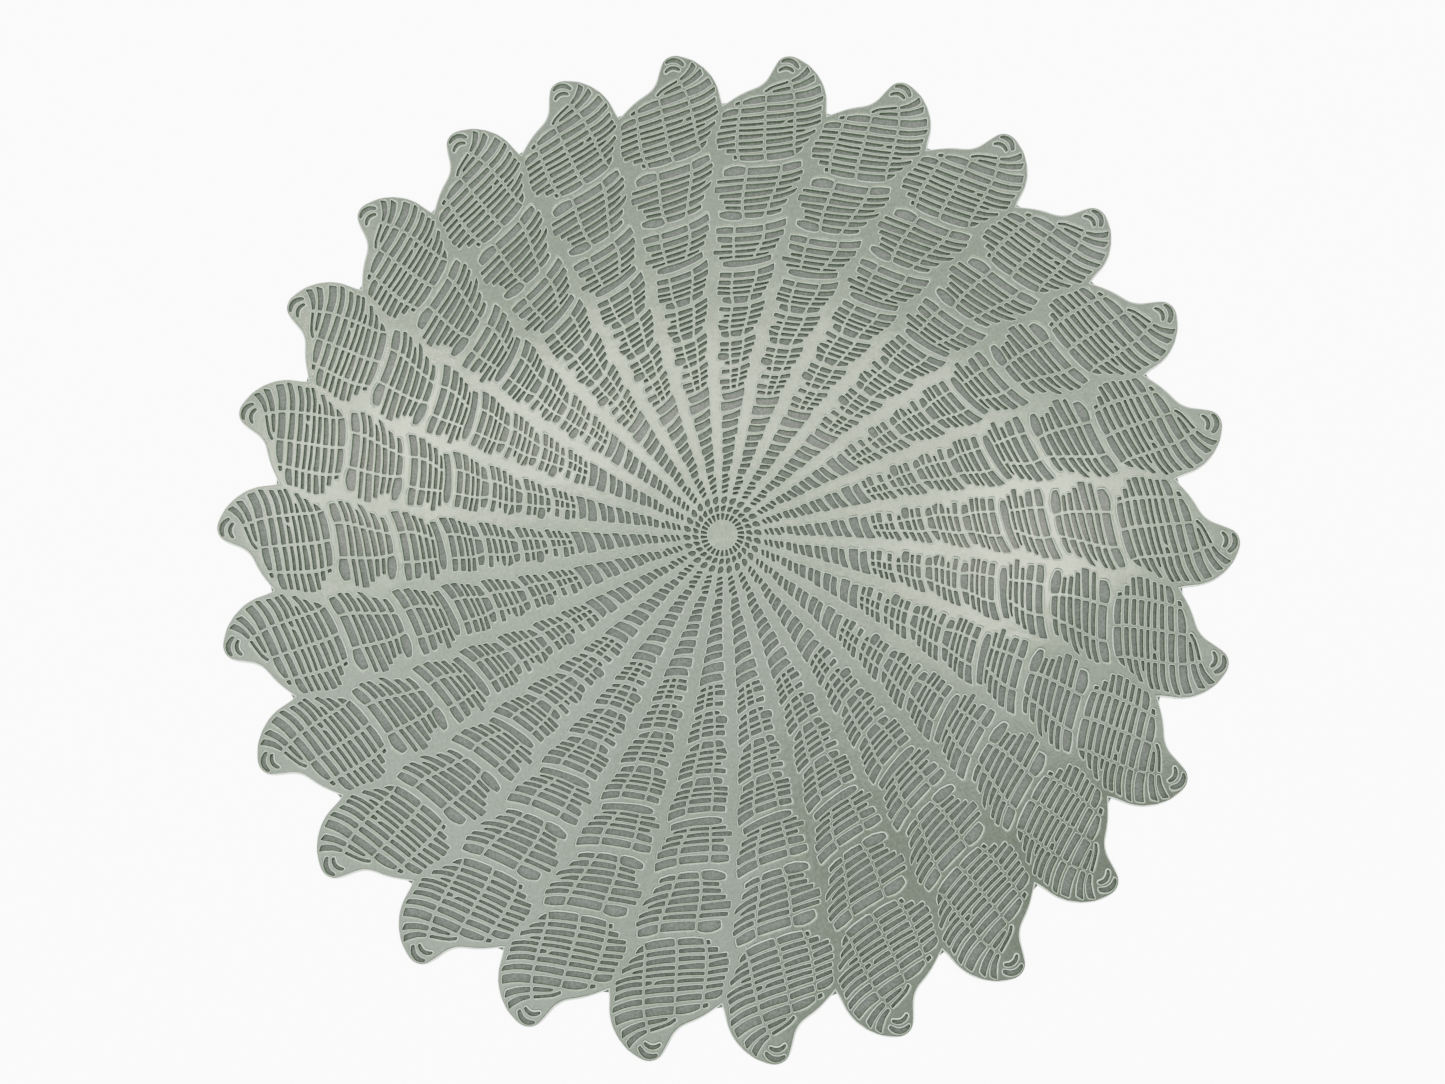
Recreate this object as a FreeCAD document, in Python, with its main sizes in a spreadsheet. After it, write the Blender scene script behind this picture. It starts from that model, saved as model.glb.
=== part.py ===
import FreeCAD, Part
import math
import os
import Sketcher
from FreeCAD import Vector

# Round openwork place mat, moulded in one sheet: a rosette hub and 26 curled petals.
# Millimetres. Origin at the middle of the underside, Z up, petal_01 points along +X,
# the petals are numbered counter-clockwise seen from above.

doc = FreeCAD.newDocument("place_mat")

# ---------------------------------------------------------------- driving dimensions
sheet = doc.addObject("Spreadsheet::Sheet", "Dimensions")
DIMENSIONS = [
    ("mat_diameter", 380.0, "across the petal tips"),
    ("sheet_thickness", 1.5, "thickness of the moulded sheet"),
    ("petal_count", 26, "equal petals round the mat"),
    ("hub_radius", 15.2, "hub corner radius, where the petals begin"),
    ("notch_radius", 168.5, "centre to the notch between two petals"),
    ("notch_angle", 6.826, "notch below the petal axis, degrees"),
]
for row, (alias, value, note) in enumerate(DIMENSIONS, start=1):
    sheet.set(f"A{row}", note)
    sheet.set(f"B{row}", str(value))
    sheet.setAlias(f"B{row}", alias)
doc.recompute()

diameter = float(sheet.get("mat_diameter"))
petal_count = int(sheet.get("petal_count"))
hub_radius = float(sheet.get("hub_radius"))
notch_radius = float(sheet.get("notch_radius"))
notch_angle = float(sheet.get("notch_angle"))
drawing_scale = diameter / 380.0
pitch = 360.0 / petal_count


def at(x, y):
    """Point of the drawing, which is laid out for a 380 mm mat."""
    return Vector(x * drawing_scale, y * drawing_scale, 0)


def polar(radius, degrees):
    angle = math.radians(degrees)
    return at(radius * math.cos(angle), radius * math.sin(angle))


def turned(point, degrees):
    angle = math.radians(degrees)
    x = point.x * math.cos(angle) - point.y * math.sin(angle)
    y = point.x * math.sin(angle) + point.y * math.cos(angle)
    return Vector(x, y, 0)


def polyline(points):
    return [Part.LineSegment(a, b) for a, b in zip(points, points[1:])]


def spline(points):
    curve = Part.BSplineCurve()
    curve.interpolate(points)
    return [curve]


def bowed(start, end, bow):
    """Side of a slot: an arc that leaves the straight line by bow, to the right of travel."""
    along = end - start
    if abs(bow) < 0.02:
        return [Part.LineSegment(start, end)]
    aside = Vector(along.y, -along.x, 0).normalize()
    middle = (start + end) * 0.5 + aside * (bow * drawing_scale)
    return [Part.Arc(start, middle, end)]


def slot(corners, bow):
    """Slot from its corners (top left, top right, bottom right, bottom left).

    bow is how far the two long sides lean towards the hub at half length, as a part of
    their length; two more numbers in corners give the two sides their own bow in mm.
    """
    xs = corners[0:8:2]
    ys = corners[1:8:2]
    top_left, top_right, low_right, low_left = [at(x, y) for x, y in zip(xs, ys)]
    left_bow = bow * (top_left - low_left).Length / drawing_scale
    right_bow = bow * (top_right - low_right).Length / drawing_scale
    if len(corners) == 10:
        left_bow, right_bow = corners[8:]
    sides = [Part.LineSegment(top_left, top_right)]
    sides += bowed(top_right, low_right, right_bow)
    sides += [Part.LineSegment(low_right, low_left)]
    sides += bowed(low_left, top_left, -left_bow)
    return sides


# ---------------------------------------------------------------- the pattern of one petal
# Petal on +X. Every slot is (x, y) of its top left, top right, bottom right, bottom left.
LADDER = [
    (15.4, 1.9, 16.3, 2.1, 17.4, 0.3, 16.6, 0.1),
    (17.2, 2.5, 18.4, 2.4, 19.3, 0.2, 18.4, 0.0),
    (19.2, 2.4, 20.5, 2.5, 22.0, 0.1, 20.9, -0.1),
    (21.3, 2.8, 22.5, 2.8, 23.2, 0.9, 22.3, 0.7),
    (23.8, 3.0, 25.4, 3.2, 26.3, 0.3, 24.4, 0.4),
    (26.2, 3.1, 27.5, 3.2, 29.0, -0.1, 27.5, -0.3),
    (28.4, 3.1, 29.9, 3.3, 31.8, 0.0, 30.4, -0.2),
    (30.6, 3.7, 32.8, 4.0, 34.8, -0.2, 32.5, -0.3),
    (34.1, 4.1, 35.8, 4.4, 37.6, 0.0, 35.9, -0.1),
    (36.5, 4.4, 38.6, 4.6, 41.2, -0.6, 38.9, -0.6),
    (40.1, 5.0, 42.5, 5.5, 44.6, -0.4, 42.4, -0.4),
    (43.2, 5.3, 44.9, 5.3, 48.2, -0.8, 45.7, -0.8),
    (46.8, 6.1, 49.9, 6.7, 52.6, -1.1, 49.6, -0.9),
    (51.1, 5.8, 53.2, 6.8, 56.7, -1.2, 53.6, -1.3),
]
FAN_1_TOP = [
    (54.9, 7.1, 56.1, 7.1, 56.5, 4.2, 55.4, 4.4),
    (56.8, 7.9, 58.6, 8.1, 59.1, 4.6, 57.5, 4.6),
    (61.0, 7.8, 62.4, 7.8, 62.9, 5.1, 61.6, 5.1),
]
FAN_1_MIDDLE = [
    (55.8, 3.4, 57.0, 3.5, 57.4, 2.0, 56.1, 2.1),
    (57.9, 3.9, 59.2, 3.9, 59.8, 2.0, 58.5, 2.0),
    (60.1, 4.1, 61.1, 4.1, 61.6, 1.8, 60.7, 1.9),
    (61.9, 4.2, 63.1, 4.3, 63.9, 1.9, 62.5, 1.9),
]
FAN_1_LOW = [
    (56.7, 1.1, 58.0, 1.2, 58.8, -0.7, 58.0, -0.8),
    (59.0, 1.0, 60.3, 1.1, 61.5, -1.5, 60.6, -1.6),
    (61.3, 0.9, 62.3, 1.0, 63.5, -1.4, 62.6, -1.6),
    (63.1, 1.0, 64.6, 1.1, 66.4, -1.9, 64.9, -2.2),
]
FAN_2_TOP = [
    (64.9, 7.1, 65.7, 7.1, 66.1, 5.6, 64.8, 5.4),
    (66.8, 10.1, 68.6, 10.1, 68.9, 6.2, 67.1, 6.0, 0.7, -0.2),
    (69.4, 9.4, 70.5, 9.4, 70.8, 6.4, 69.9, 6.4),
    (71.4, 9.8, 73.0, 9.9, 73.4, 6.6, 71.9, 6.7),
]
FAN_2_MIDDLE = [
    (65.1, 4.5, 66.6, 4.8, 67.3, 1.9, 66.0, 2.1),
    (67.6, 5.1, 69.2, 5.2, 70.1, 1.7, 68.5, 1.8),
    (70.1, 5.6, 71.1, 5.6, 72.2, 1.6, 71.2, 1.7),
    (72.0, 5.6, 73.7, 5.8, 74.8, 1.7, 73.2, 1.8),
]
FAN_2_LOW = [
    (66.6, 0.9, 67.9, 1.0, 69.0, -1.3, 68.1, -1.4),
    (69.0, 0.8, 70.6, 0.8, 72.0, -2.2, 70.8, -2.2),
    (71.8, 0.6, 73.0, 0.7, 74.7, -2.7, 73.6, -2.8),
    (74.0, 0.8, 75.5, 1.0, 77.6, -2.8, 75.8, -3.1),
]
FAN_3_TOP = [
    (75.7, 9.8, 76.9, 10.1, 77.6, 7.4, 75.5, 6.9, 0.4, -0.1),
    (77.6, 10.6, 79.6, 11.7, 79.4, 7.6, 78.4, 7.8, -0.1, 0.2),
    (80.4, 11.4, 81.0, 11.5, 82.1, 7.9, 80.6, 7.9, 0.0, -0.3),
    (83.0, 9.9, 83.7, 9.9, 84.1, 7.8, 83.3, 7.8),
    (85.2, 11.8, 86.6, 11.8, 86.8, 7.7, 85.3, 7.8),
]
FAN_3_MIDDLE = [
    (75.9, 6.1, 77.8, 6.6, 79.1, 2.1, 76.4, 2.6),
    (79.0, 6.7, 80.1, 6.8, 81.3, 1.8, 80.2, 1.9),
    (81.1, 6.8, 82.3, 6.8, 83.5, 1.5, 82.5, 1.7),
    (83.3, 6.8, 84.5, 6.9, 85.9, 1.3, 84.8, 1.4),
    (85.5, 6.7, 87.1, 6.7, 88.2, 1.2, 86.9, 1.1),
]
FAN_3_LOW = [
    (77.2, 1.3, 79.6, 1.2, 80.5, -1.8, 79.6, -1.9),
    (80.7, 0.7, 82.1, 0.7, 83.3, -3.1, 82.1, -2.9),
    (83.1, 0.4, 84.3, 0.5, 86.1, -4.0, 84.7, -3.9),
    (85.3, 0.1, 86.6, 0.1, 88.9, -4.7, 87.4, -4.5),
    (87.6, 0.1, 89.0, 0.1, 91.3, -4.7, 89.7, -4.8),
]
FAN_4_TOP = [
    (88.8, 11.0, 90.4, 11.2, 91.0, 8.4, 88.6, 7.5, 0.2, 0.0),
    (91.4, 13.3, 92.8, 13.4, 93.0, 8.6, 91.9, 8.5),
    (93.4, 13.7, 94.5, 13.6, 94.8, 8.7, 93.9, 8.8),
    (95.3, 13.4, 97.0, 13.4, 97.4, 8.9, 95.7, 8.9),
    (98.3, 13.2, 100.1, 13.4, 100.6, 9.0, 98.5, 9.0),
]
FAN_4_MIDDLE = [
    (88.8, 6.4, 91.4, 7.2, 92.4, 1.5, 89.9, 1.9),
    (92.2, 7.6, 93.2, 7.7, 94.7, 1.1, 93.5, 1.2),
    (94.2, 7.9, 95.0, 7.9, 96.6, 0.7, 95.7, 0.8),
    (96.0, 7.9, 97.6, 8.0, 99.3, 0.2, 97.7, 0.3),
    (98.8, 8.1, 100.7, 8.2, 102.5, 0.1, 100.5, 0.1),
]
FAN_4_LOW = [
    (90.7, 0.6, 93.0, 0.6, 94.3, -3.6, 92.7, -3.3),
    (94.0, 0.0, 95.2, 0.1, 97.1, -4.8, 95.7, -4.6),
    (96.3, -0.3, 97.4, -0.3, 98.9, -5.4, 98.1, -5.3),
    (98.2, -0.9, 100.1, -0.8, 102.5, -6.5, 100.4, -6.3),
    (101.0, -1.0, 103.1, -0.7, 106.2, -6.5, 103.5, -6.7),
]
FAN_5_TOP = [
    (105.2, 14.4, 106.2, 14.5, 107.1, 9.4, 106.4, 9.5),
    (106.9, 16.8, 108.4, 17.0, 109.4, 9.8, 108.1, 9.8),
    (109.8, 14.3, 110.8, 14.3, 111.6, 10.1, 110.4, 10.1),
    (112.2, 15.8, 114.0, 16.2, 114.6, 10.5, 112.4, 10.4, 0.3, -0.1),
    (115.3, 16.7, 117.3, 17.0, 118.5, 10.6, 116.1, 10.6, 0.1, -0.3),
]
FAN_5_MIDDLE = [
    (106.4, 8.5, 107.5, 8.6, 108.7, 1.7, 107.9, 1.7),
    (108.3, 8.6, 109.6, 8.8, 111.3, 0.8, 110.1, 1.1),
    (110.6, 9.0, 111.8, 9.1, 113.7, -0.1, 112.7, 0.2),
    (112.8, 9.4, 114.8, 9.5, 117.0, -0.7, 114.9, -0.4),
    (116.4, 9.5, 118.6, 9.6, 120.8, -0.5, 118.4, -0.8),
]
FAN_5_LOW = [
    (108.2, 0.6, 109.2, 0.6, 110.5, -4.1, 109.9, -3.9),
    (110.4, -0.4, 111.6, -0.4, 113.8, -6.4, 112.4, -6.2),
    (112.8, -1.1, 114.0, -1.2, 116.5, -7.5, 115.2, -7.3),
    (115.2, -1.8, 117.7, -1.8, 120.1, -8.6, 117.9, -8.7),
    (118.8, -1.8, 121.3, -1.4, 124.4, -8.9, 121.7, -9.2),
]
FAN_6_TOP = [
    (122.3, 16.3, 123.7, 16.5, 124.8, 8.4, 122.5, 7.7, 0.9, -0.6),
    (125.3, 14.5, 126.5, 14.6, 127.1, 8.8, 125.8, 8.7),
    (127.5, 15.4, 128.8, 15.5, 129.6, 9.0, 128.1, 9.0),
    (129.4, 17.4, 130.8, 17.4, 132.7, 9.1, 130.7, 9.1),
    (131.2, 19.5, 133.7, 19.6, 136.0, 9.1, 133.8, 9.1),
    (135.2, 18.9, 136.4, 19.0, 138.5, 9.0, 137.1, 9.0),
    (138.5, 16.6, 140.8, 16.9, 142.9, 8.9, 140.1, 8.9, 0.2, -1.1),
]
FAN_6_MIDDLE = [
    (122.9, 6.6, 124.8, 7.2, 126.2, -0.6, 124.3, 0.0),
    (125.8, 7.3, 127.5, 7.7, 129.6, -1.3, 127.5, -0.9),
    (128.4, 7.8, 130.0, 8.0, 132.5, -2.0, 130.7, -1.6),
    (131.0, 7.9, 133.1, 8.0, 135.5, -2.8, 133.6, -2.3),
    (134.0, 7.8, 136.3, 8.0, 138.4, -3.5, 136.6, -3.1),
    (137.3, 7.8, 138.9, 7.8, 140.9, -4.0, 139.6, -3.8),
    (140.0, 7.8, 142.9, 7.8, 145.2, -4.3, 142.3, -4.2),
]
FAN_6_LOW = [
    (124.9, -1.4, 126.5, -1.3, 128.3, -6.8, 127.1, -6.6),
    (127.8, -2.3, 130.0, -2.2, 132.3, -8.6, 130.6, -7.9),
    (131.3, -3.0, 133.0, -3.0, 137.1, -11.9, 135.2, -11.0),
    (134.2, -3.8, 135.9, -3.8, 137.8, -9.8, 137.0, -9.5),
    (137.1, -4.7, 138.7, -4.6, 141.6, -12.5, 140.4, -12.3),
    (139.9, -5.4, 141.3, -5.2, 144.5, -12.9, 143.0, -13.1),
    (142.8, -5.4, 145.6, -5.2, 147.8, -12.0, 145.6, -12.2, 0.4, -0.3),
]
CURL_TOP = [
    (145.8, 13.6, 147.0, 14.1, 147.3, 13.1, 146.0, 12.5),
    (147.9, 16.9, 149.3, 17.1, 149.9, 13.6, 148.3, 13.4),
    (149.4, 20.4, 150.6, 20.5, 152.3, 14.2, 150.9, 14.1),
    (151.1, 21.1, 153.2, 21.4, 155.1, 14.5, 153.6, 14.4),
    (154.4, 21.3, 155.7, 21.3, 157.6, 14.5, 156.4, 14.4),
    (157.2, 20.6, 158.5, 20.6, 160.0, 14.5, 158.9, 14.5),
    (159.8, 20.3, 161.0, 20.4, 162.6, 14.4, 161.4, 14.4),
    (162.0, 20.4, 163.7, 20.4, 166.1, 14.4, 164.1, 14.5, 0.1, -0.7),
    (167.4, 15.8, 168.5, 15.9, 169.3, 14.3, 167.9, 14.2),
]
CURL_UPPER = [
    (145.6, 11.3, 147.5, 11.8, 149.0, 2.7, 147.0, 2.3),
    (148.6, 12.1, 150.0, 12.6, 151.6, 3.4, 150.3, 3.2),
    (151.4, 12.7, 152.7, 12.9, 154.5, 3.6, 152.9, 3.5),
    (153.8, 12.9, 155.7, 13.1, 157.3, 3.8, 155.9, 3.8),
    (156.9, 13.2, 157.9, 13.3, 159.4, 3.9, 158.5, 3.9),
    (159.1, 13.3, 160.2, 13.3, 161.9, 4.2, 160.8, 4.1),
    (161.5, 13.3, 162.9, 13.4, 164.8, 4.4, 163.3, 4.3),
    (164.4, 13.2, 166.4, 13.4, 168.4, 4.5, 166.5, 4.5),
    (168.1, 13.1, 169.5, 13.2, 172.6, 4.9, 170.1, 4.7, 0.1, -0.6),
]
CURL_MIDDLE = [
    (147.0, 1.1, 149.4, 1.6, 152.1, -8.4, 149.9, -9.3),
    (150.6, 1.9, 152.1, 2.1, 154.6, -7.9, 153.2, -8.1),
    (153.1, 2.2, 154.9, 2.5, 157.5, -7.7, 155.9, -7.8),
    (156.2, 2.5, 157.4, 2.7, 159.6, -7.5, 158.4, -7.6),
    (158.5, 2.7, 159.6, 2.9, 161.8, -7.4, 160.8, -7.4),
    (160.8, 2.9, 162.3, 3.1, 163.6, -4.1, 162.3, -3.2),
    (162.6, -5.0, 163.5, -4.9, 164.4, -7.0, 162.9, -7.1),
    (163.4, 3.3, 165.1, 3.5, 167.4, -6.9, 165.7, -7.0),
    (166.6, 3.4, 168.8, 3.7, 170.7, -6.5, 168.8, -6.6),
    (170.0, 3.9, 172.8, 4.0, 175.0, -5.4, 172.5, -6.1),
    (174.2, 2.3, 175.0, 2.2, 177.5, -4.4, 176.1, -4.6, 0.1, -0.2),
]
CURL_LOW = [
    (150.7, -9.7, 152.8, -9.3, 153.8, -12.0, 152.9, -11.6),
    (153.7, -9.0, 155.4, -9.0, 157.6, -14.0, 156.4, -13.6),
    (156.3, -8.8, 157.8, -8.9, 161.3, -15.9, 159.9, -16.1),
    (159.1, -8.6, 160.1, -8.6, 160.9, -12.2, 160.3, -12.1),
    (161.1, -8.6, 162.2, -8.6, 165.5, -17.6, 164.4, -17.7),
    (163.3, -8.3, 164.7, -8.2, 167.8, -17.2, 166.3, -17.5),
    (165.8, -8.0, 167.5, -7.8, 171.0, -17.3, 169.2, -17.2),
    (169.2, -7.6, 171.1, -7.4, 175.2, -17.5, 173.3, -17.4),
    (172.6, -7.0, 175.3, -6.4, 179.2, -15.6, 176.4, -16.6),
    (176.6, -5.6, 178.2, -5.2, 183.4, -12.9, 181.0, -13.3),
    (179.3, -4.7, 180.2, -4.3, 186.4, -9.9, 184.4, -11.2, 0.9, 0.8),
]
# Each row of slots with the bow of its strands.
ROWS = [
    (LADDER, 0.06),
    (FAN_1_TOP, 0.0), (FAN_1_MIDDLE, 0.02), (FAN_1_LOW, 0.03),
    (FAN_2_TOP, 0.01), (FAN_2_MIDDLE, 0.02), (FAN_2_LOW, 0.03),
    (FAN_3_TOP, 0.01), (FAN_3_MIDDLE, 0.02), (FAN_3_LOW, 0.04),
    (FAN_4_TOP, 0.01), (FAN_4_MIDDLE, 0.02), (FAN_4_LOW, 0.04),
    (FAN_5_TOP, 0.01), (FAN_5_MIDDLE, 0.02), (FAN_5_LOW, 0.04),
    (FAN_6_TOP, 0.01), (FAN_6_MIDDLE, 0.02), (FAN_6_LOW, 0.05),
    (CURL_TOP, 0.01), (CURL_UPPER, 0.02), (CURL_MIDDLE, 0.02), (CURL_LOW, 0.06),
]


def long_slot(one_side, other_side):
    """Slot whose long sides are free curves; the ends are straight."""
    first = [at(x, y) for x, y in one_side]
    second = [at(x, y) for x, y in other_side]
    far_end = polyline([first[-1], second[0]])
    near_end = polyline([second[-1], first[0]])
    return spline(first) + far_end + spline(second) + near_end


# The long open slot between the fourth and fifth fans, and the one that follows the curl.
LONG_SLOTS = [
    (
        [(104.2, 12.8), (105.4, 9.5), (106.1, 4.5), (107.6, -0.5), (109.5, -5.0)],
        [(107.4, -5.1), (105.3, 0.0), (103.8, 5.0), (102.8, 9.5), (103.0, 12.6)],
    ),
    (
        [(174.6, 5.3), (176.6, 3.2), (178.1, 0.2), (179.8, -3.2)],
        [(178.8, -3.4), (177.1, 0.3), (175.7, 2.9), (173.9, 4.8)],
    ),
]
# Two crescents in the tip: start, middle and end of the outer arc, then of the inner arc.
CRESCENTS = [
    ((183.8, 1.0), (185.6, -1.8), (184.2, -5.0), (183.5, -4.7), (184.5, -1.8), (183.3, 0.6)),
    ((187.6, 0.5), (189.0, -2.6), (185.6, -6.8), (184.9, -6.1), (187.3, -2.8), (186.8, 0.2)),
]


def crescent(points):
    outer_start, outer_mid, outer_end, inner_start, inner_mid, inner_end = [at(x, y) for x, y in points]
    return [
        Part.Arc(outer_start, outer_mid, outer_end),
        Part.LineSegment(outer_end, inner_start),
        Part.Arc(inner_start, inner_mid, inner_end),
        Part.LineSegment(inner_end, outer_start),
    ]


# ---------------------------------------------------------------- outline of one petal
# Cut along the middle of the plain spoke under the petal: radius and angle below the axis.
SPOKE_LINE = [
    (hub_radius, 3.4), (60.0, 3.45), (80.0, 4.0), (106.0, 4.4), (119.0, 4.95), (135.0, 5.1),
    (143.5, 5.95), (149.5, 5.45), (153.8, 5.15), (157.5, 5.65), (161.0, 6.17), (165.0, 6.5),
    (notch_radius, notch_angle),
]
# Free edge from the lower notch round the tip to the upper notch.
FREE_EDGE = [
    (169.4, -19.5), (174.0, -18.9), (180.6, -16.6), (185.8, -12.2), (189.1, -7.0), (189.98, -2.6),
    (189.0, 0.2), (185.6, 2.7), (180.6, 4.7), (177.0, 7.4), (174.2, 12.0), (170.5, 17.0),
]
lower_cut = [polar(radius, -below) for radius, below in SPOKE_LINE]
upper_cut = [turned(point, pitch) for point in lower_cut]
free_edge = [lower_cut[-1]] + [at(x, y) for x, y in FREE_EDGE] + [upper_cut[-1]]

outline = polyline(lower_cut) + spline(free_edge) + polyline(upper_cut[::-1])
outline += polyline([upper_cut[0], lower_cut[0]])

petal_drawing = doc.addObject("Sketcher::SketchObject", "petal_drawing")
geometry = outline
for row, bow in ROWS:
    for corners in row:
        geometry += slot(corners, bow)
for first, second in LONG_SLOTS:
    geometry += long_slot(first, second)
for points in CRESCENTS:
    geometry += crescent(points)
petal_drawing.addGeometry(geometry, False)

# ---------------------------------------------------------------- petals
nodes = []
for number in range(1, petal_count + 1):
    petal = doc.addObject("Part::Extrusion", f"petal_{number:02d}")
    petal.Label = f"petal_{number:02d}"
    petal.Base = petal_drawing
    petal.DirMode = "Custom"
    petal.Dir = Vector(0, 0, 1)
    petal.Solid = True
    petal.Placement = FreeCAD.Placement(Vector(0, 0, 0), FreeCAD.Rotation(Vector(0, 0, 1), 1))
    petal.setExpression("LengthFwd", "Dimensions.sheet_thickness")
    petal.setExpression("Placement.Rotation.Angle", f"360 deg / Dimensions.petal_count * {number - 1}")
    nodes.append(petal)

# ---------------------------------------------------------------- hub rosette
hub = doc.addObject("PartDesign::Body", "hub_rosette")
hub.Label = "hub_rosette"
flat = [plane for plane in hub.Origin.OriginFeatures if plane.Name.startswith("XY_Plane")][0]
axis = [line for line in hub.Origin.OriginFeatures if line.Name.startswith("Z_Axis")][0]

hub_outline = hub.newObject("Sketcher::SketchObject", "hub_outline")
hub_outline.AttachmentSupport = [(flat, "")]
hub_outline.MapMode = "FlatFace"
corners = [turned(lower_cut[0], pitch * k) for k in range(petal_count + 1)]
corners[-1] = corners[0]
hub_outline.addGeometry(polyline(corners), False)
doc.recompute()

hub_plate = hub.newObject("PartDesign::Pad", "hub_plate")
hub_plate.Profile = hub_outline
hub_plate.setExpression("Length", "Dimensions.sheet_thickness")
doc.recompute()

# One cell of each of the three rings round the plain disc.
RING_CELLS = [
    [(5.7, 1.05), (7.9, 1.35), (8.0, 0.25), (5.8, 0.5)],
    [(8.8, 1.2), (9.1, 1.6), (10.3, 1.7), (11.2, 0.2), (10.7, 0.05), (9.2, 0.4)],
    [
        (11.7, 1.1), (12.2, 1.8), (13.0, 2.0), (13.9, 1.6),
        (14.6, 0.4), (14.3, 0.05), (13.2, 0.05), (12.1, 0.5),
    ],
]
ring_cells = hub.newObject("Sketcher::SketchObject", "ring_cells")
ring_cells.AttachmentSupport = [(flat, "")]
ring_cells.MapMode = "FlatFace"
for cell in RING_CELLS:
    ring = [at(x, y) for x, y in cell]
    ring_cells.addGeometry(polyline(ring + ring[:1]), False)
doc.recompute()

cell_cut = hub.newObject("PartDesign::Pocket", "cell_cut")
cell_cut.Profile = ring_cells
cell_cut.Reversed = True
cell_cut.setExpression("Length", "Dimensions.sheet_thickness")
doc.recompute()

cell_rings = hub.newObject("PartDesign::PolarPattern", "cell_rings")
cell_rings.Originals = [cell_cut]
cell_rings.Axis = (axis, [""])
cell_rings.Angle = 360
cell_rings.setExpression("Occurrences", "Dimensions.petal_count")
hub.Tip = cell_rings
nodes.append(hub)
doc.recompute()

# ---------------------------------------------------------------- checks and export
for item in doc.Objects:
    if "Invalid" in item.State or "Error" in item.State:
        raise RuntimeError(f"{item.Name} did not recompute: {item.State}")
for node in nodes:
    shape = node.Shape
    if shape.isNull() or not shape.isValid():
        raise RuntimeError(f"{node.Label} has no valid shape")
    if len(shape.Solids) != 1:
        raise RuntimeError(f"{node.Label} is not one solid")

os.makedirs("parts", exist_ok=True)
for node in nodes:
    node.Shape.exportStep(f"parts/{node.Label}.step")
    print(node.Label, "volume", round(node.Shape.Volume, 1), "faces", len(node.Shape.Faces))
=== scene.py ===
import math

import bmesh
import bpy
import numpy as np
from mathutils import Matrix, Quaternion, Vector


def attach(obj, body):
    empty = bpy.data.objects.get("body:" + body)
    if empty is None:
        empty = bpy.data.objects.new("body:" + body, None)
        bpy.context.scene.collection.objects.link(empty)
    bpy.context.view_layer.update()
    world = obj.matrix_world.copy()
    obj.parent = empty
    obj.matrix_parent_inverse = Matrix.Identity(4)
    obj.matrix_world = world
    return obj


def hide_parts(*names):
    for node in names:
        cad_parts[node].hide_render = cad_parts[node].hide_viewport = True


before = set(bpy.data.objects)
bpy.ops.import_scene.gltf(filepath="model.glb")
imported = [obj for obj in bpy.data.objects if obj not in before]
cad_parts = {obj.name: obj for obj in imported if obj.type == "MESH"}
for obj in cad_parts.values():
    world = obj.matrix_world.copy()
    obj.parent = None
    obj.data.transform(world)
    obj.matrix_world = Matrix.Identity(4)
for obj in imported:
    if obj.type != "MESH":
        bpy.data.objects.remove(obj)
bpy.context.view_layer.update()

MM = 0.001

# ------------------------------------------------------------------ the sheet's outlines
# The mat is one sheet of vinyl cast in an open mould. Every slot is a hole right through,
# with corners as round as the mould's cutter left them and a soft edge on the upper side.
SHEET_THICKNESS = 1.5
NOTCH_RADIUS = 168.5
FLAT_TOLERANCE = 1e-6
SLOT_CORNER = 0.34
HUB_CORNER = 0.14
CORNER_SHARE = 0.28
POINTS_PER_CORNER = 3
LEAST_POINTS = 16
STEEPEST_TURN = math.radians(16)
LONGEST_STEP = 3.0
MOST_STRETCH = 1.5
WALL_FLARE = 0.18
WALL_FLARE_SHARE = 0.1
WIDEST_SLOT = 9.0
NARROWEST_SLOT = 0.2
NOTCH_TOLERANCE = 0.01
NOTCH_STRETCH = 1.6
STRAND_SHARE = 0.47
LEAST_DROP = 0.35
THINNING = 0.13
THINNING_SHARE = 0.13
CLEARANCE = 1.1
SHORTENING = 0.8
MOST_TRIES = 20


def along_slant(vertex):
    """Place along a slanting line, where corners that mirror each other across X differ."""
    return vertex.co.x + vertex.co.y / 10


def upper_outlines(node):
    """Closed outlines of a CAD node's upper face in mm, with the vinyl on their left.

    Each starts at its furthest corner along the slant, so every run gives the same points.
    """
    shell = bmesh.new()
    shell.from_mesh(node.data)
    bmesh.ops.remove_doubles(shell, verts=shell.verts, dist=FLAT_TOLERANCE)
    top = max(vertex.co.z for vertex in shell.verts)
    level = top - FLAT_TOLERANCE
    on_top = {face for face in shell.faces if min(v.co.z for v in face.verts) > level}
    following = {}
    for face in on_top:
        for corner in face.loops:
            if any(other not in on_top for other in corner.edge.link_faces):
                following[corner.vert] = corner.link_loop_next.vert
    outlines = []
    while following:
        start = max(following, key=along_slant)
        outline = []
        vertex = start
        while vertex in following:
            outline.append((vertex.co.x / MM, vertex.co.y / MM))
            vertex = following.pop(vertex)
        outlines.append(np.array(outline))
    shell.free()
    return outlines


def evenly_spaced(outline, spacing):
    """The same closed outline with points at equal steps along it."""
    closed = np.vstack([outline, outline[:1]])
    steps = np.linalg.norm(np.diff(closed, axis=0), axis=1)
    along = np.concatenate([[0.0], np.cumsum(steps)])
    count = max(LEAST_POINTS, int(along[-1] / spacing))
    places = np.arange(count) * along[-1] / count
    x = np.interp(places, along, closed[:, 0])
    y = np.interp(places, along, closed[:, 1])
    return np.stack([x, y], axis=1)


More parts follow.
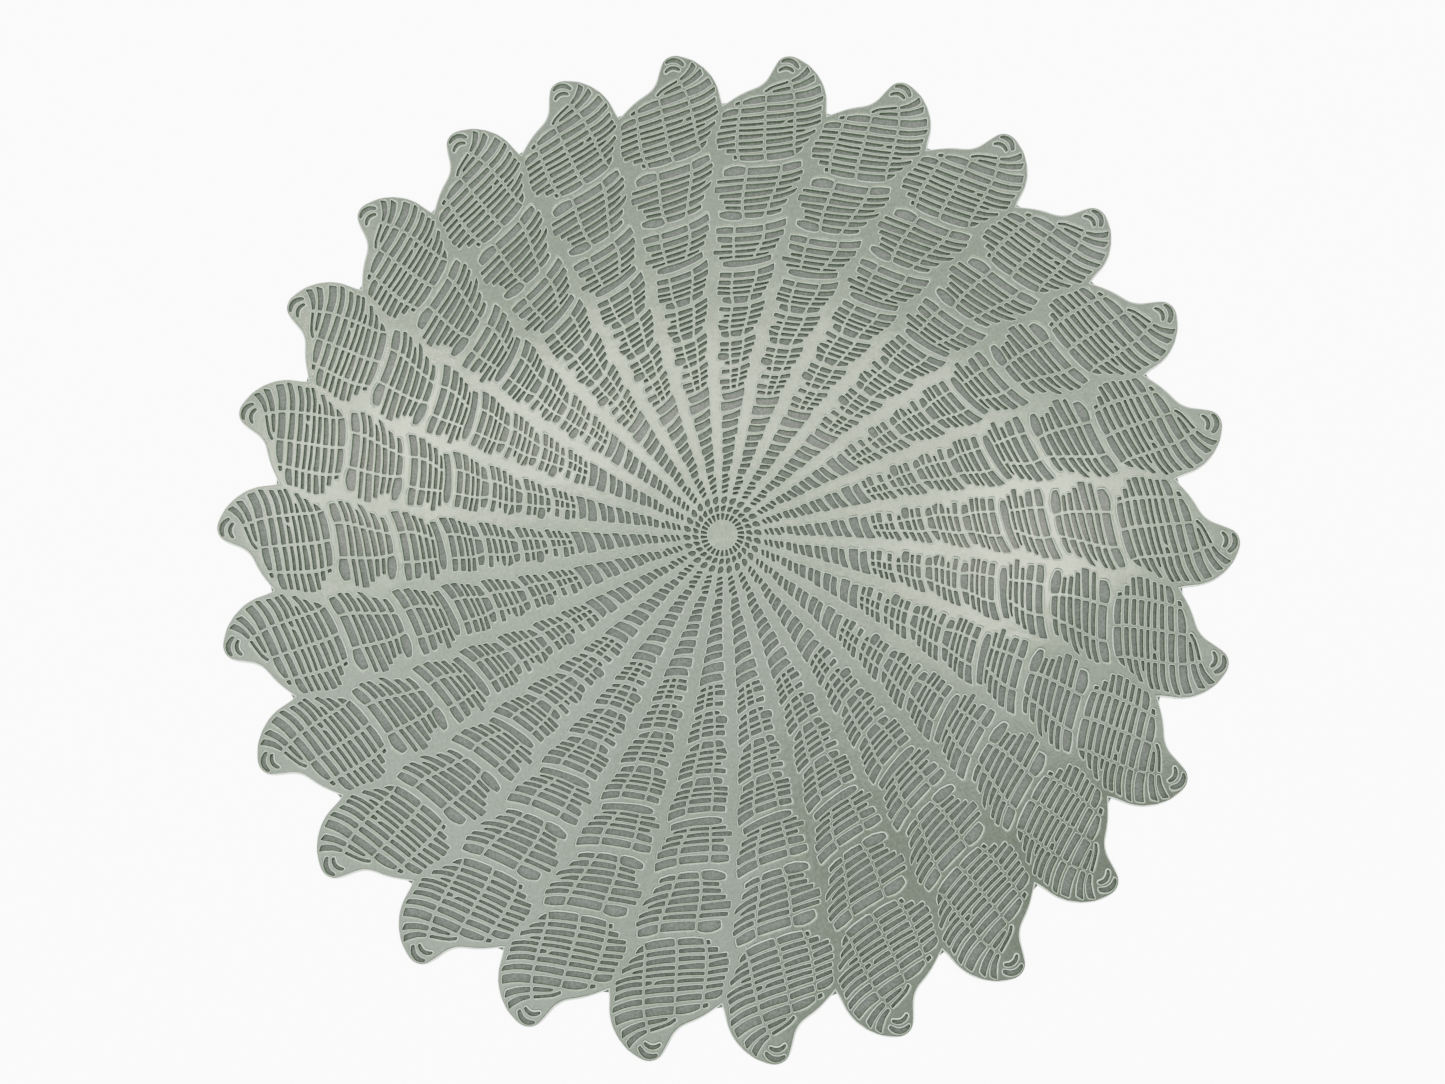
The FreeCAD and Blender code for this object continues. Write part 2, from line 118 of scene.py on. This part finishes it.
def cutter_rounded(outline, largest_corner):
    """Rounds a slot's corners, less on a small slot, and keeps the points its curves need."""
    ahead = np.roll(outline, -1, axis=0)
    area = abs((outline[:, 0] * ahead[:, 1] - outline[:, 1] * ahead[:, 0]).sum()) / 2
    rim_length = np.linalg.norm(ahead - outline, axis=1).sum()
    corner = min(largest_corner, CORNER_SHARE * 2 * area / rim_length)
    spacing = corner / POINTS_PER_CORNER
    fine = evenly_spaced(outline, spacing)
    furthest = 3 * POINTS_PER_CORNER
    shifts = range(-furthest, furthest + 1)
    weights = np.array([math.exp(-0.5 * (shift * spacing / corner) ** 2) for shift in shifts])
    weights /= weights.sum()
    smooth = sum(weight * np.roll(fine, shift, axis=0) for weight, shift in zip(weights, shifts))
    ahead = np.roll(smooth, -1, axis=0) - smooth
    heading = np.arctan2(ahead[:, 1], ahead[:, 0])
    kept = [0]
    turned = 0.0
    for i in range(1, len(smooth)):
        bend = heading[i] - heading[i - 1]
        turned += math.atan2(math.sin(bend), math.cos(bend))
        far = np.linalg.norm(smooth[i] - smooth[kept[-1]])
        if abs(turned) > STEEPEST_TURN or far > LONGEST_STEP:
            kept.append(i)
            turned = 0.0
    return smooth[kept]


def into_vinyl(outline):
    """Unit steps square to a closed outline, towards the vinyl on its left."""
    before = outline - np.roll(outline, 1, axis=0)
    after = np.roll(outline, -1, axis=0) - outline
    before /= np.linalg.norm(before, axis=1)[:, None]
    after /= np.linalg.norm(after, axis=1)[:, None]
    both = np.stack([-(before + after)[:, 1], (before + after)[:, 0]], axis=1)
    length = np.linalg.norm(both, axis=1)[:, None]
    stretch = np.minimum(2 / length, MOST_STRETCH)
    return both / length * stretch


def split_long(outline):
    """Adds points on the long straight runs of an outline."""
    points = []
    for a, b in zip(outline, np.roll(outline, -1, axis=0)):
        parts = max(1, math.ceil(np.linalg.norm(b - a) / LONGEST_STEP))
        points += [a + (b - a) * part / parts for part in range(parts)]
    return np.array(points)


def strand_room(points, edges, owners):
    """Distance in mm from each outline point to the nearest part of another outline."""
    starts = points[edges[:, 0]]
    runs = points[edges[:, 1]] - starts
    lengths = (runs ** 2).sum(axis=1)
    room = np.empty(len(points))
    for i, point in enumerate(points):
        part = np.clip(((point - starts) * runs).sum(axis=1) / lengths, 0, 1)
        gaps = np.linalg.norm(starts + runs * part[:, None] - point, axis=1)
        room[i] = gaps[owners[edges[:, 0]] != owners[i]].min()
    return room


def crossed(points, edges):
    """Marks the points whose edges cross another edge of the same drawing."""
    starts = points[edges[:, 0]]
    ends = points[edges[:, 1]]
    runs = ends - starts
    marked = np.zeros(len(points), dtype=bool)
    for first, second in edges:
        run = points[second] - points[first]
        from_start = starts - points[first]
        from_end = ends - points[first]
        to_first = points[first] - starts
        to_second = points[second] - starts
        start_side = run[0] * from_start[:, 1] - run[1] * from_start[:, 0]
        end_side = run[0] * from_end[:, 1] - run[1] * from_end[:, 0]
        first_side = runs[:, 0] * to_first[:, 1] - runs[:, 1] * to_first[:, 0]
        second_side = runs[:, 0] * to_second[:, 1] - runs[:, 1] * to_second[:, 0]
        crossing = (start_side * end_side < 0) & (first_side * second_side < 0)
        marked[edges[crossing].ravel()] = True
    return marked


def kept_clear(points, edges, moves):
    """Shortens the moves of outline points until no two edges would cross."""
    part = np.ones(len(points))
    for _ in range(MOST_TRIES):
        moved = moves * part[:, None]
        marked = crossed(points + moved, edges) | crossed(points + moved * CLEARANCE, edges)
        if not marked.any():
            break
        part[marked] *= SHORTENING
    return part


def slot_room(outline, outward):
    """Width in mm of a slot at each of its points, measured square to its edge."""
    room = np.full(len(outline), WIDEST_SLOT)
    for i, point in enumerate(outline):
        across = outline - point
        depth = -(across @ outward[i])
        aside = np.abs(across @ np.array([-outward[i][1], outward[i][0]]))
        facing = (depth > NARROWEST_SLOT) & (aside < depth)
        if facing.any():
            room[i] = depth[facing].min()
    return room


def wire_drawing(name, outlines, corner, reach):
    """Edges-only mesh of a node's outlines, with the lean of the moulded edge at each point.

    The step into the vinyl is 1 where the rounded edge has its full reach in mm, and less
    on a strand too thin for two of them; its Z is the same part of the edge's drop, and no
    less than LEAST_DROP. Where two nodes meet there is no step, because the sheet goes on.
    The strands are first thinned a little on both sides, by less where they are thin.
    """
    largest = max(range(len(outlines)), key=lambda i: np.ptp(outlines[i], axis=0).max())
    points = []
    owners = []
    edges = []
    steps = []
    flares = []
    for i, outline in enumerate(outlines):
        if i == largest:
            outline = split_long(outline)
            inward = into_vinyl(outline)
            radius = np.linalg.norm(outline, axis=1)
            inward[radius < NOTCH_RADIUS + NOTCH_TOLERANCE] = 0
            for k in np.nonzero(np.abs(radius - NOTCH_RADIUS) < NOTCH_TOLERANCE)[0]:
                neighbours = [outline[k - 1], outline[(k + 1) % len(outline)]]
                along_cut = min(neighbours, key=np.linalg.norm) - outline[k]
                inward[k] = along_cut / np.linalg.norm(along_cut) * NOTCH_STRETCH
            flare = inward * 0
        else:
            outline = cutter_rounded(outline, corner)
            inward = into_vinyl(outline)
            widths = slot_room(outline, inward)
            flare = -inward * np.minimum(WALL_FLARE, WALL_FLARE_SHARE * widths)[:, None]
        first = len(points)
        count = len(outline)
        points += list(outline)
        owners += [i] * count
        steps += list(inward)
        flares += list(flare)
        edges += [(first + k, first + (k + 1) % count) for k in range(count)]
    points = np.array(points)
    edges = np.array(edges)
    owners = np.array(owners)
    steps = np.array(steps)
    flares = np.array(flares)
    thinning = np.minimum(THINNING, THINNING_SHARE * strand_room(points, edges, owners))
    thinning[owners == largest] = 0
    thinned = steps * thinning[:, None]
    points = points + thinned * kept_clear(points, edges, thinned)[:, None]
    fit = np.minimum(1.0, STRAND_SHARE * strand_room(points, edges, owners) / reach)
    fit *= kept_clear(points, edges, steps * fit[:, None] * (reach + SHOULDER))
    drops = np.maximum(fit, LEAST_DROP)
    steps = np.column_stack([steps * fit[:, None], drops]).astype(np.float32)
    flares *= kept_clear(points, edges, flares)[:, None]
    drawing = bpy.data.meshes.new(name)
    drawing.from_pydata([(x, y, 0.0) for x, y in points], edges.tolist(), [])
    flares = np.column_stack([flares, np.zeros(len(points))]).astype(np.float32)
    for label, values in (("into_vinyl", steps), ("into_slot", flares)):
        stored = drawing.attributes.new(label, "FLOAT_VECTOR", "POINT")
        stored.data.foreach_set("vector", values.ravel())
    return drawing


# ------------------------------------------------------------------ metallic vinyl
# The sheet is sage vinyl filled with fine aluminium flake, so it has a broad satin sheen.
# It never lies quite flat, its skin has a fine grain, and it picks up specks of dust.
class Shade:
    """A socket of a material's tree. Sums and products of shades add its Math nodes."""

    def __init__(self, tree, socket):
        self.tree = tree
        self.socket = socket

    def node(self, kind, settings, values, output=0):
        """Adds a node: its settings first, then the values or shades of its sockets."""
        made = self.tree.nodes.new(kind)
        for name, value in settings.items():
            setattr(made, name, value)
        for name, value in values.items():
            if isinstance(value, Shade):
                self.tree.links.new(value.socket, made.inputs[name])
            else:
                made.inputs[name].default_value = value
        return Shade(self.tree, made.outputs[output])

    def math(self, operation, first, second):
        return self.node("ShaderNodeMath", {"operation": operation}, {0: first, 1: second})

    def __add__(self, other):
        return self.math("ADD", self, other)

    __radd__ = __add__

    def __mul__(self, other):
        return self.math("MULTIPLY", self, other)

    __rmul__ = __mul__

    def __sub__(self, other):
        return self.math("SUBTRACT", self, other)

    def __rsub__(self, other):
        return self.math("SUBTRACT", other, self)

    def __gt__(self, other):
        return self.math("GREATER_THAN", self, other)


def linear(red, green, blue):
    """An sRGB colour of 0 to 255, as the light it stands for."""
    return tuple(((c / 255 + 0.055) / 1.055) ** 2.4 for c in (red, green, blue)) + (1.0,)


SAGE = linear(182, 195, 178)
SAGE_DEEP = linear(155, 173, 151)
DUST = linear(214, 216, 206)
DARK_FLECK = linear(92, 98, 88)
vinyl = bpy.data.materials.new("sage_metallic_vinyl")
vinyl.use_nodes = True
skin = vinyl.node_tree.nodes["Principled BSDF"]
place = Shade(vinyl.node_tree, None).node("ShaderNodeTexCoord", {}, {}, "Object")
cloud = place.node("ShaderNodeTexNoise", {}, {"Vector": place, "Scale": 14.0, "Detail": 3.0})
grain = place.node("ShaderNodeTexNoise", {}, {"Vector": place, "Scale": 900.0, "Detail": 3.0})
swell = place.node("ShaderNodeTexNoise", {}, {"Vector": place, "Scale": 11.0, "Detail": 1.0})
ripple = place.node("ShaderNodeTexNoise", {}, {"Vector": place, "Scale": 90.0, "Detail": 2.0})
fleck = place.node("ShaderNodeTexVoronoi", {}, {"Vector": place, "Scale": 260.0, "Randomness": 1.0})
chance = place.node("ShaderNodeTexWhiteNoise", {"noise_dimensions": "3D"}, {}, "Value")
vinyl.node_tree.links.new(
    fleck.socket.node.outputs["Position"], chance.socket.node.inputs["Vector"]
)
speck = 1 - (fleck > 0.055)
dust = speck * (chance > 0.88)
# Dark flecks scattered at random over the skin.
dark_fleck = speck * (1 - (chance > 0.08))
tone = place.node(
    "ShaderNodeMix",
    {"data_type": "RGBA"},
    {0: (cloud - 0.3) * 1.2 + (grain - 0.35) * 1.4, 6: SAGE_DEEP, 7: SAGE},
    2,
)
dusted = place.node("ShaderNodeMix", {"data_type": "RGBA"}, {0: dust * 0.6, 6: tone, 7: DUST}, 2)
dark_flecked = place.node("ShaderNodeMix", {"data_type": "RGBA"}, {0: dark_fleck * 0.8, 6: dusted, 7: DARK_FLECK}, 2)
rough = 0.08 + 0.05 * cloud + 0.06 * grain + 0.3 * dust
swollen = place.node("ShaderNodeBump", {}, {"Strength": 1.0, "Distance": 0.0018, "Height": swell})
rippled = place.node(
    "ShaderNodeBump", {}, {"Strength": 1.0, "Distance": 0.0001, "Height": ripple, "Normal": swollen}
)
grained = place.node(
    "ShaderNodeBump", {}, {"Strength": 0.4, "Distance": 0.00005, "Height": grain, "Normal": rippled}
)
vinyl.node_tree.links.new(dark_flecked.socket, skin.inputs["Base Color"])
vinyl.node_tree.links.new(rough.socket, skin.inputs["Roughness"])
vinyl.node_tree.links.new(grained.socket, skin.inputs["Normal"])
skin.inputs["Metallic"].default_value = 0.92

# ------------------------------------------------------------------ how the sheet is moulded
# One tree raises any of the drawings into the finished sheet: walls that spread a little
# into the slots at their foot, a rounded upper edge, and flat faces. It ends in metres.
EDGE_REACH = 1.0
HUB_EDGE_REACH = 0.4
EDGE_DROP = 0.5
SHOULDER = 0.06
ROUNDING_STEPS = 4
WELD_DISTANCE = 0.002
SHARP_ANGLE = math.radians(50)

moulding = bpy.data.node_groups.new("moulded_sheet", "GeometryNodeTree")
moulding.is_modifier = True
panel = moulding.interface
panel.new_socket("Drawing", in_out="INPUT", socket_type="NodeSocketGeometry")
INPUTS = {}
for label in ("Thickness", "Edge reach", "Edge drop", "Shoulder", "Turn"):
    INPUTS[label] = panel.new_socket(label, in_out="INPUT", socket_type="NodeSocketFloat")
INPUTS["Material"] = panel.new_socket(
    "Material", in_out="INPUT", socket_type="NodeSocketMaterial"
)
panel.new_socket("Sheet", in_out="OUTPUT", socket_type="NodeSocketGeometry")


def step(kind, settings=(), **values):
    """Adds a node of the moulding tree; a value is a number, a vector or another socket."""
    made = moulding.nodes.new(kind)
    for name, value in dict(settings).items():
        setattr(made, name, value)
    for name, value in values.items():
        socket = made.inputs[name.replace("_", " ")]
        if isinstance(value, bpy.types.NodeSocket):
            moulding.links.new(value, socket)
        else:
            socket.default_value = value
    return made


def sum_or_product(operation, first, second):
    """A vector maths node of the moulding tree with two sockets or values."""
    made = moulding.nodes.new("ShaderNodeVectorMath")
    made.operation = operation
    for k, value in enumerate((first, second)):
        if isinstance(value, bpy.types.NodeSocket):
            moulding.links.new(value, made.inputs[k])
        else:
            made.inputs[k].default_value = value
    return made.outputs[0]


given = moulding.nodes.new("NodeGroupInput")
lean = step("GeometryNodeInputNamedAttribute", {"data_type": "FLOAT_VECTOR"}, Name="into_vinyl")
flare = step("GeometryNodeInputNamedAttribute", {"data_type": "FLOAT_VECTOR"}, Name="into_slot")
reach = given.outputs["Edge reach"]
drop = given.outputs["Edge drop"]
edge_size = step("ShaderNodeCombineXYZ", X=reach, Y=reach, Z=drop)
edge = sum_or_product("MULTIPLY", lean.outputs["Attribute"], edge_size.outputs[0])


def raised(sheet, rim, offset):
    """Carries the open rim on by an offset, which makes one more band of the surface."""
    grown = moulding.nodes.new("GeometryNodeExtrudeMesh")
    grown.mode = "EDGES"
    grown.inputs["Offset Scale"].default_value = 0.0
    moulding.links.new(sheet, grown.inputs["Mesh"])
    if rim is not None:
        moulding.links.new(rim, grown.inputs["Selection"])
    moved = step(
        "GeometryNodeSetPosition",
        Geometry=grown.outputs["Mesh"],
        Selection=grown.outputs["Top"],
        Offset=offset,
    )
    return moved.outputs["Geometry"], grown.outputs["Top"]


base = step(
    "GeometryNodeSetPosition", Geometry=given.outputs["Drawing"], Offset=flare.outputs["Attribute"]
).outputs["Geometry"]
full_height = step("ShaderNodeCombineXYZ", Z=given.outputs["Thickness"]).outputs[0]
edge_height = sum_or_product("MULTIPLY", edge, (0.0, 0.0, 1.0))
wall = sum_or_product("SUBTRACT", full_height, edge_height)
wall = sum_or_product("SUBTRACT", wall, flare.outputs["Attribute"])
sheet, rim = raised(base, None, wall)
quarter = math.pi / 2
for k in range(ROUNDING_STEPS):
    low = quarter * k / ROUNDING_STEPS
    high = quarter * (k + 1) / ROUNDING_STEPS
    inward = math.cos(low) - math.cos(high)
    upward = math.sin(high) - math.sin(low)
    sheet, rim = raised(sheet, rim, sum_or_product("MULTIPLY", edge, (inward, inward, upward)))
shoulder = step("ShaderNodeCombineXYZ", X=given.outputs["Shoulder"], Y=given.outputs["Shoulder"])
sheet, rim = raised(
    sheet, rim, sum_or_product("MULTIPLY", lean.outputs["Attribute"], shoulder.outputs[0])
)


def filled(geometry, selection, height):
    """Flat face across a rim, with its slots left open."""
    curve = moulding.nodes.new("GeometryNodeMeshToCurve")
    moulding.links.new(geometry, curve.inputs["Mesh"])
    if selection is not None:
        moulding.links.new(selection, curve.inputs["Selection"])
    face = step("GeometryNodeFillCurve", {"mode": "TRIANGLES"}, Curve=curve.outputs["Curve"])
    lift = step("ShaderNodeCombineXYZ", Z=height)
    return step(
        "GeometryNodeTransform", Geometry=face.outputs["Mesh"], Translation=lift.outputs[0]
    ).outputs["Geometry"]


upper = filled(sheet, rim, given.outputs["Thickness"])
sides = step("GeometryNodeFlipFaces", Mesh=sheet)
lower = step("GeometryNodeFlipFaces", Mesh=filled(base, None, 0.0))
joined = moulding.nodes.new("GeometryNodeJoinGeometry")
for part in (lower.outputs["Mesh"], upper, sides.outputs["Mesh"]):
    moulding.links.new(part, joined.inputs["Geometry"])
welded = step("GeometryNodeMergeByDistance", Geometry=joined.outputs[0], Distance=WELD_DISTANCE)
turn = step("ShaderNodeCombineXYZ", Z=given.outputs["Turn"])
placed = step(
    "GeometryNodeTransform",
    Geometry=welded.outputs["Geometry"],
    Rotation=turn.outputs[0],
    Scale=(MM, MM, MM),
)
smooth = step("GeometryNodeSetShadeSmooth", Geometry=placed.outputs["Geometry"], Shade_Smooth=True)
real = step("GeometryNodeRealizeInstances", Geometry=smooth.outputs["Geometry"])
coated = step(
    "GeometryNodeSetMaterial",
    Geometry=real.outputs["Geometry"],
    Material=given.outputs["Material"],
)
result = moulding.nodes.new("NodeGroupOutput")
moulding.links.new(coated.outputs["Geometry"], result.inputs["Sheet"])


def moulded(name, drawing, edge_reach, turn_angle):
    """Runs the moulding tree on a drawing and returns the finished piece."""
    piece = bpy.data.objects.new(name, drawing)
    bpy.context.collection.objects.link(piece)
    work = piece.modifiers.new("moulding", "NODES")
    work.node_group = moulding
    work[INPUTS["Thickness"].identifier] = SHEET_THICKNESS
    work[INPUTS["Edge reach"].identifier] = edge_reach
    work[INPUTS["Edge drop"].identifier] = EDGE_DROP
    work[INPUTS["Shoulder"].identifier] = SHOULDER
    work[INPUTS["Turn"].identifier] = turn_angle
    work[INPUTS["Material"].identifier] = vinyl
    seen = piece.evaluated_get(bpy.context.evaluated_depsgraph_get())
    solid = bpy.data.meshes.new_from_object(seen)
    solid.name = name
    piece.modifiers.remove(work)
    piece.data = solid
    for attribute in list(solid.attributes):
        if attribute.name in ("into_vinyl", "into_slot"):
            solid.attributes.remove(attribute)
    solid.set_sharp_from_angle(angle=SHARP_ANGLE)
    return piece


# ------------------------------------------------------------------ petals
# Twenty-six equal petals: a column of slots that widens into a curled leaf, with half of
# the smooth spoke on each side. All of them are the same drawing turned round the hub.
PETAL_COUNT = 26
petal_drawing = wire_drawing(
    "petal_drawing",
    upper_outlines(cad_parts["petal_01"]),
    SLOT_CORNER,
    EDGE_REACH + SHOULDER,
)
for number in range(PETAL_COUNT):
    node_name = f"petal_{number + 1:02d}"
    turn_angle = 2 * math.pi * number / PETAL_COUNT
    petal = moulded(f"moulded_{node_name}", petal_drawing, EDGE_REACH, turn_angle)
    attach(petal, "root")
    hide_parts(node_name)

# ------------------------------------------------------------------ hub rosette
# The middle of the sheet: a plain disc inside three rings of small cells. It is cast with
# the petals, so its outer corners meet their inner ends.
hub_drawing = wire_drawing(
    "hub_drawing",
    upper_outlines(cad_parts["hub_rosette"]),
    HUB_CORNER,
    HUB_EDGE_REACH + SHOULDER,
)
hub = moulded("moulded_hub_rosette", hub_drawing, HUB_EDGE_REACH, 0.0)
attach(hub, "root")
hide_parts("hub_rosette")

# ------------------------------------------------------------------ table and painted shade
# A pale table top that glows evenly. Under the mat lies a grey sheet cut to the mat's outline:
# painted shade that stands for the mat's shadow on the table, seen through the slots.
PAINTED_SHADE_GREY = linear(112, 119, 114)
PAINTED_SHADE_GREY_DEEP = linear(92, 99, 94)


def plain_material(name, colour, roughness, gloss):
    made = bpy.data.materials.new(name)
    made.use_nodes = True
    surface = made.node_tree.nodes["Principled BSDF"]
    surface.inputs["Base Color"].default_value = colour
    surface.inputs["Roughness"].default_value = roughness
    surface.inputs["Specular IOR Level"].default_value = gloss
    return made


def table_or_painted_shade_sheet(name, points, height, material):
    """One flat face at a height in metres: the table top, or the painted-shade sheet under the mat.
    """
    mesh = bpy.data.meshes.new(name)
    mesh.from_pydata([(x, y, height) for x, y in points], [], [tuple(range(len(points)))])
    mesh.materials.append(material)
    made = bpy.data.objects.new(name, mesh)
    bpy.context.collection.objects.link(made)


FLOOR_HALF = 6.0
FLOOR_DROP = -0.0003
pale_table = plain_material("pale_table", (0.9, 0.9, 0.9, 1), 0.6, 0.1)
glow = pale_table.node_tree.nodes["Principled BSDF"]
glow.inputs["Emission Color"].default_value = (1, 1, 1, 1)
glow.inputs["Emission Strength"].default_value = 9.0
square = [(x * FLOOR_HALF, y * FLOOR_HALF) for x, y in ((-1, -1), (1, -1), (1, 1), (-1, 1))]
table_or_painted_shade_sheet("table_top", square, FLOOR_DROP, pale_table)

# The painted-shade sheet reaches 0.25 mm past the mat's free edge: a thin painted shadow line round
# the rim.
SHADE_INSET = -0.25
leaf = max(upper_outlines(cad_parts["petal_01"]), key=lambda outline: np.ptp(outline[:, 0]))
leaf_steps = into_vinyl(leaf)
free = np.linalg.norm(leaf, axis=1) > NOTCH_RADIUS + 0.5
leaf_edge = (leaf + leaf_steps * SHADE_INSET)[free] * MM
bearing = np.arctan2(leaf_edge[:, 1], leaf_edge[:, 0])
first = int(np.argmin(bearing))
leaf_edge = np.roll(leaf_edge, -first, axis=0)
shade_points = []
for number in range(PETAL_COUNT):
    angle = 2 * math.pi * number / PETAL_COUNT
    turn_matrix = np.array([[math.cos(angle), math.sin(angle)], [-math.sin(angle), math.cos(angle)]])
    shade_points += [tuple(point) for point in leaf_edge @ turn_matrix]
# Darker grey with a fine random grain: painted shade of the mat on the table.
painted_shade_table = plain_material("painted_shade_table", PAINTED_SHADE_GREY, 0.08, 0.25)
painted_shade_surface = painted_shade_table.node_tree.nodes["Principled BSDF"]
spot = Shade(painted_shade_table.node_tree, None).node("ShaderNodeTexCoord", {}, {}, "Object")
speckle = spot.node("ShaderNodeTexNoise", {}, {"Vector": spot, "Scale": 1100.0, "Detail": 2.0})
greys = {0: (speckle - 0.35) * 3.0, 6: PAINTED_SHADE_GREY_DEEP, 7: PAINTED_SHADE_GREY}
speckled = spot.node("ShaderNodeMix", {"data_type": "RGBA"}, greys, 2)
painted_shade_table.node_tree.links.new(speckled.socket, painted_shade_surface.inputs["Base Color"])
table_or_painted_shade_sheet("painted_shade_under_mat", shade_points, FLOOR_DROP / 2, painted_shade_table)

# ------------------------------------------------------------------ camera
# Held over the near edge of the mat, looking down at it.
CAMERA_DISTANCE = 0.5636
CAMERA_TILT = math.radians(8.67)
CAMERA_SWING = math.radians(12.99)
CAMERA_ROLL = math.radians(-12.92)
CAMERA_TARGET = Vector((0.0, -0.0025, 0.0))
lens = bpy.data.cameras.new("camera")
lens.sensor_width = 36.0
lens.lens = 37.79
lens.clip_start = 0.01
camera = bpy.data.objects.new("camera", lens)
bpy.context.collection.objects.link(camera)
away = Vector((
    math.sin(CAMERA_SWING) * math.sin(CAMERA_TILT),
    -math.cos(CAMERA_SWING) * math.sin(CAMERA_TILT),
    math.cos(CAMERA_TILT),
))
camera.location = CAMERA_TARGET + away * CAMERA_DISTANCE
camera.rotation_mode = "QUATERNION"
camera.rotation_quaternion = (-away).to_track_quat("-Z", "Y") @ Quaternion((0, 0, 1), CAMERA_ROLL)
bpy.context.scene.camera = camera

# ------------------------------------------------------------------ light
# A room with bright walls, brightest in front, and a dim ceiling and foot, so that rounded
# edges catch a light line. The flat vinyl mirrors a few soft level lamps into the camera.
room = bpy.data.worlds.new("room")
room.use_nodes = True
backdrop = room.node_tree.nodes["Background"]
backdrop.inputs["Color"].default_value = (1, 1, 1, 1)
direction = Shade(room.node_tree, None).node("ShaderNodeTexCoord", {}, {}, "Generated")
height = direction.node("ShaderNodeSeparateXYZ", {}, {0: direction}, "Z")
depth = direction.node("ShaderNodeSeparateXYZ", {}, {0: direction}, "Y")
ROOM_WALL = 3.3
ROOM_CEILING = 0.3
ROOM_FOOT = 0.3
CEILING_STARTS = 0.75
CEILING_FULL = 0.84
FOOT_FULL = 0.15
FOOT_ENDS = 0.6
FRONT_SHARE = 1.4
BACK_SHARE = 0.7


def faded(value, low, high, at_low, at_high):
    """Runs from one strength to another as the value goes from low to high."""
    return value.node(
        "ShaderNodeMapRange", {}, {"Value": value, 1: low, 2: high, 3: at_low, 4: at_high}
    )


walls = faded(height, CEILING_STARTS, CEILING_FULL, ROOM_WALL, ROOM_CEILING)
foot = faded(height, FOOT_FULL, FOOT_ENDS, ROOM_FOOT, 1.0)
front_to_back = faded(depth, -1.0, 1.0, FRONT_SHARE, BACK_SHARE)
strength = walls * foot * front_to_back
room.node_tree.links.new(strength.socket, backdrop.inputs["Strength"])
bpy.context.scene.world = room
LAMP_HEIGHT = 0.9
LAMP_SPREAD = 1 + LAMP_HEIGHT / camera.location.z


def mirrored_lamp(name, spot, size, radiance, colour=(1, 1, 1)):
    """A level lamp that the flat mat mirrors into the camera; spot and size in mm on the mat."""
    lamp = bpy.data.lights.new(name, "AREA")
    lamp.shape = "RECTANGLE"
    lamp.size = size[0] * MM * LAMP_SPREAD
    lamp.size_y = size[1] * MM * LAMP_SPREAD
    lamp.energy = radiance * math.pi * lamp.size * lamp.size_y
    lamp.color = colour
    holder = bpy.data.objects.new(name, lamp)
    x, y = (place * MM * LAMP_SPREAD for place in spot)
    holder.location = (
        x - camera.location.x * (LAMP_SPREAD - 1),
        y - camera.location.y * (LAMP_SPREAD - 1),
        LAMP_HEIGHT,
    )
    bpy.context.collection.objects.link(holder)


mirrored_lamp("middle_panel", (0, 33), (420, 66), 0.68)
mirrored_lamp("far_panel", (0, 132), (500, 130), 0.46)
mirrored_lamp("near_panel", (-125, -100), (170, 200), 0.77)
mirrored_lamp("near_strip", (-10, -100), (60, 200), 0.6)
mirrored_lamp("side_panel", (140, -40), (240, 80), 0.48)
mirrored_lamp("corner_panel", (60, -140), (80, 120), 0.12)
CREAM = (1.0, 0.92, 0.72)


def lamp_row(name, start, end, count, size, radiance):
    """A straight row of cream lamps, evenly spaced from start to end."""
    for k in range(count):
        part = k / (count - 1)
        spot = [a + (b - a) * part for a, b in zip(start, end)]
        mirrored_lamp(f"{name}_{k}", spot, size, radiance, CREAM)


lamp_row("rising_row", (-95, 28), (-5, 56), 6, (20, 9), 50.0)
lamp_row("falling_row", (15, 55), (75, 22), 4, (20, 9), 50.0)
lamp_row("left_row", (-140, 60), (-132, 10), 3, (24, 22), 32.0)
lamp_row("right_row", (90, -6), (136, 6), 3, (28, 16), 34.0)
